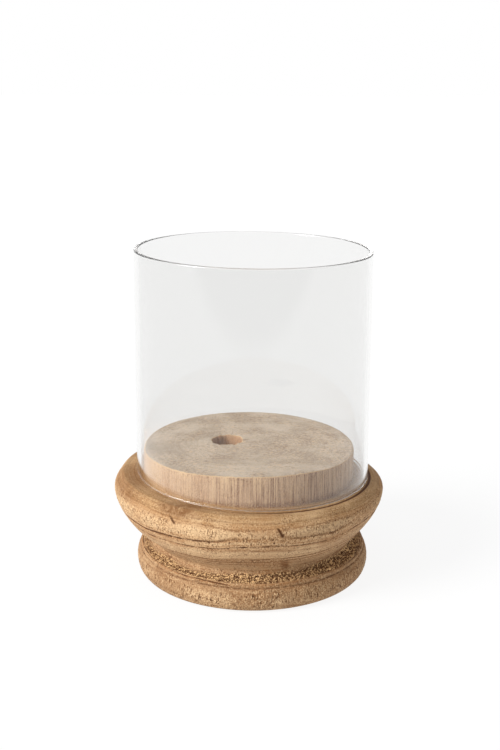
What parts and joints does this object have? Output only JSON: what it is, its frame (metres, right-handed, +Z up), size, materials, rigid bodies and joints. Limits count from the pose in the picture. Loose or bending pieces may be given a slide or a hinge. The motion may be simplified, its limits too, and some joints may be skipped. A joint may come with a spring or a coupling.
{
  "type": "hurricane candle holder",
  "caption": "Free-standing hurricane candle holder: a turned wooden base with a flared bowl, a plinth for the candle, and a loose clear glass cylinder on its ledge.",
  "frame": {"origin": "on the table, at the middle of the base", "axes": "+Z is up along the turning axis, and -Y is the front"},
  "size_m": [0.1746, 0.1746, 0.2115],
  "materials": {
    "turned_wood": "bare wood, turned and lightly brushed, with open grain and faint stains",
    "clear_glass": "clear and polished, with rounded rims",
    "felt": "brown pressed felt"
  },
  "bodies": {
    "base": {"turned_base": "turned_wood", "felt_pad_1": "felt", "felt_pad_2": "felt", "felt_pad_3": "felt", "felt_pad_4": "felt"},
    "glass": {"glass_cylinder": "clear_glass"}
  },
  "joints": [
    {"name": "glass_lift", "type": "slide", "parent": "base", "child": "glass", "axis": [0, 0, 1], "range_m": [0, 0.16]}
  ]
}
